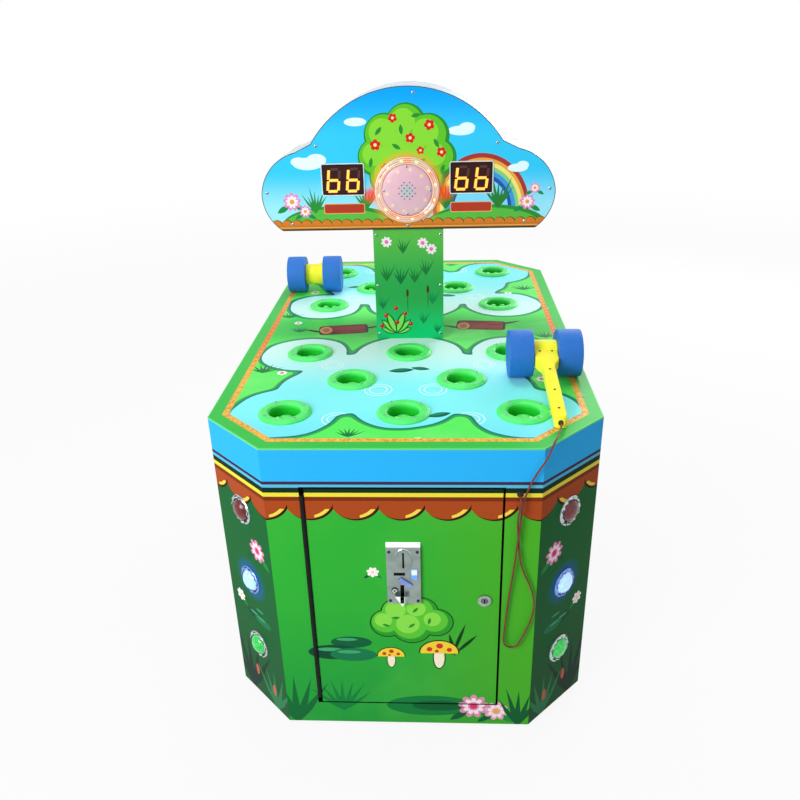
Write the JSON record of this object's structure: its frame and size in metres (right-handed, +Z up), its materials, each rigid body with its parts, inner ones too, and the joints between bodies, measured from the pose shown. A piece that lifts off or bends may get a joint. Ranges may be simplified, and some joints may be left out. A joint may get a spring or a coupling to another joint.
{
  "type": "mole pounding arcade machine",
  "caption": "Two-player table-height arcade cabinet with pop-up frog targets in ringed holes, a lit cloud-shaped sign on a post, a coin door and two soft hammers.",
  "frame": {"origin": "centre of the cabinet's footprint on the floor", "axes": "+Z up, -Y towards the front player and the coin door, +X to that player's right"},
  "size_m": [0.7, 1.1837, 1.1419],
  "materials": {
    "printed_board": "printed film on board",
    "bare_board": "bare board",
    "printed_overlay": "printed and clear coated",
    "printed_face": "printed, lit from behind",
    "pale_rim": "satin",
    "black_rubber": "matt",
    "green_plastic": "gloss",
    "frog_plastic": "gloss",
    "steel": "plated",
    "steel_and_copper": "plated frame, wound coil",
    "black_plastic": "matt",
    "clear_bezel": "clear, faceted",
    "coloured_lens": "coloured, clear",
    "chrome": "polished",
    "plated_casting": "satin plated",
    "lit_blue_button": "lit",
    "circuit_board": "soldermask",
    "aluminium_case": "perforated case",
    "grey_sheet": "powder coated",
    "display": "smoked window",
    "speaker": "paper cone in a basket",
    "pink_cover": "gloss",
    "yellow_plastic": "gloss",
    "blue_foam": "skinned soft foam",
    "red_cord": "woven sleeve"
  },
  "bodies": {
    "cabinet": {"front_wall": "printed_board", "rear_wall": "printed_board", "side_walls": "printed_board", "corner_walls": "printed_board", "floor_board": "bare_board", "frame_battens": "bare_board", "mechanism_shelf": "bare_board", "playfield_board": "bare_board", "post_frame": "bare_board", "playfield_overlay": "printed_overlay", "post_panels": "printed_overlay", "marquee_faces": "printed_face", "marquee_rim": "pale_rim", "feet": "black_rubber", "hole_rings": "green_plastic", "playfield_screws": "steel", "marquee_screws": "steel", "solenoids": "steel_and_copper", "hit_switches": "black_plastic", "lamp_bezels": "clear_bezel", "lamp_lenses": "coloured_lens", "door_hinge_fixed": "steel", "coin_box": "steel", "control_board": "circuit_board", "power_supply": "aluminium_case", "rear_service_panel": "grey_sheet", "mains_inlet": "black_plastic", "cord_grommets": "black_rubber", "score_displays": "display", "speakers": "speaker", "speaker_covers": "pink_cover", "hammer_cord": "red_cord"},
    "frog_01": {"frog_01": "frog_plastic"},
    "frog_02": {"frog_02": "frog_plastic"},
    "frog_03": {"frog_03": "frog_plastic"},
    "frog_04": {"frog_04": "frog_plastic"},
    "frog_05": {"frog_05": "frog_plastic"},
    "frog_06": {"frog_06": "frog_plastic"},
    "frog_07": {"frog_07": "frog_plastic"},
    "frog_08": {"frog_08": "frog_plastic"},
    "frog_09": {"frog_09": "frog_plastic"},
    "frog_10": {"frog_10": "frog_plastic"},
    "frog_11": {"frog_11": "frog_plastic"},
    "frog_12": {"frog_12": "frog_plastic"},
    "frog_13": {"frog_13": "frog_plastic"},
    "frog_14": {"frog_14": "frog_plastic"},
    "frog_15": {"frog_15": "frog_plastic"},
    "frog_16": {"frog_16": "frog_plastic"},
    "coin_door": {"coin_door": "printed_board", "door_hinge_leaf": "steel", "lock_barrel": "chrome", "coin_plate": "plated_casting", "coin_mech": "black_plastic"},
    "lock_plug": {"lock_plug": "chrome"},
    "reject_button": {"reject_button": "lit_blue_button"},
    "power_switch": {"power_switch": "black_plastic"},
    "front_hammer": {"front_hammer_handle": "yellow_plastic", "front_hammer_pads": "blue_foam"},
    "rear_hammer": {"rear_hammer_handle": "yellow_plastic", "rear_hammer_pads": "blue_foam"}
  },
  "joints": [
    {"name": "frog_01_rise", "type": "slide", "parent": "cabinet", "child": "frog_01", "axis": [0, 0, 1], "range_m": [0, 0.055]},
    {"name": "frog_02_rise", "type": "slide", "parent": "cabinet", "child": "frog_02", "axis": [0, 0, 1], "range_m": [0, 0.055]},
    {"name": "frog_03_rise", "type": "slide", "parent": "cabinet", "child": "frog_03", "axis": [0, 0, 1], "range_m": [0, 0.055]},
    {"name": "frog_04_rise", "type": "slide", "parent": "cabinet", "child": "frog_04", "axis": [0, 0, 1], "range_m": [0, 0.055]},
    {"name": "frog_05_rise", "type": "slide", "parent": "cabinet", "child": "frog_05", "axis": [0, 0, 1], "range_m": [0, 0.055]},
    {"name": "frog_06_rise", "type": "slide", "parent": "cabinet", "child": "frog_06", "axis": [0, 0, 1], "range_m": [0, 0.055]},
    {"name": "frog_07_rise", "type": "slide", "parent": "cabinet", "child": "frog_07", "axis": [0, 0, 1], "range_m": [0, 0.055]},
    {"name": "frog_08_rise", "type": "slide", "parent": "cabinet", "child": "frog_08", "axis": [0, 0, 1], "range_m": [0, 0.055]},
    {"name": "frog_09_rise", "type": "slide", "parent": "cabinet", "child": "frog_09", "axis": [0, 0, 1], "range_m": [0, 0.055]},
    {"name": "frog_10_rise", "type": "slide", "parent": "cabinet", "child": "frog_10", "axis": [0, 0, 1], "range_m": [0, 0.055]},
    {"name": "frog_11_rise", "type": "slide", "parent": "cabinet", "child": "frog_11", "axis": [0, 0, 1], "range_m": [0, 0.055]},
    {"name": "frog_12_rise", "type": "slide", "parent": "cabinet", "child": "frog_12", "axis": [0, 0, 1], "range_m": [0, 0.055]},
    {"name": "frog_13_rise", "type": "slide", "parent": "cabinet", "child": "frog_13", "axis": [0, 0, 1], "range_m": [0, 0.055]},
    {"name": "frog_14_rise", "type": "slide", "parent": "cabinet", "child": "frog_14", "axis": [0, 0, 1], "range_m": [0, 0.055]},
    {"name": "frog_15_rise", "type": "slide", "parent": "cabinet", "child": "frog_15", "axis": [0, 0, 1], "range_m": [0, 0.055]},
    {"name": "frog_16_rise", "type": "slide", "parent": "cabinet", "child": "frog_16", "axis": [0, 0, 1], "range_m": [0, 0.055]},
    {"name": "coin_door_swing", "type": "hinge", "parent": "cabinet", "child": "coin_door", "pos_m": [-0.1695, -0.575, 0.302], "axis": [0, 0, -1], "range_deg": [0, 110]},
    {"name": "lock_turn", "type": "hinge", "parent": "coin_door", "child": "lock_plug", "pos_m": [0.1435, -0.575, 0.312], "axis": [0, -1, 0], "range_deg": [0, 90]},
    {"name": "reject_button_press", "type": "slide", "parent": "coin_door", "child": "reject_button", "axis": [0, 1, 0], "range_m": [0, 0.0025], "stiffness_N_per_m": 300},
    {"name": "power_switch_rock", "type": "hinge", "parent": "cabinet", "child": "power_switch", "pos_m": [-0.185, 0.5715, 0.109], "axis": [1, 0, 0], "range_deg": [0, 20]},
    {"name": "front_hammer_lift", "type": "slide", "parent": "cabinet", "child": "front_hammer", "axis": [0, 0, 1], "range_m": [0, 0.12], "deforming": ["hammer_cord"]},
    {"name": "rear_hammer_lift", "type": "slide", "parent": "cabinet", "child": "rear_hammer", "axis": [0, 0, 1], "range_m": [0, 0.12]}
  ]
}
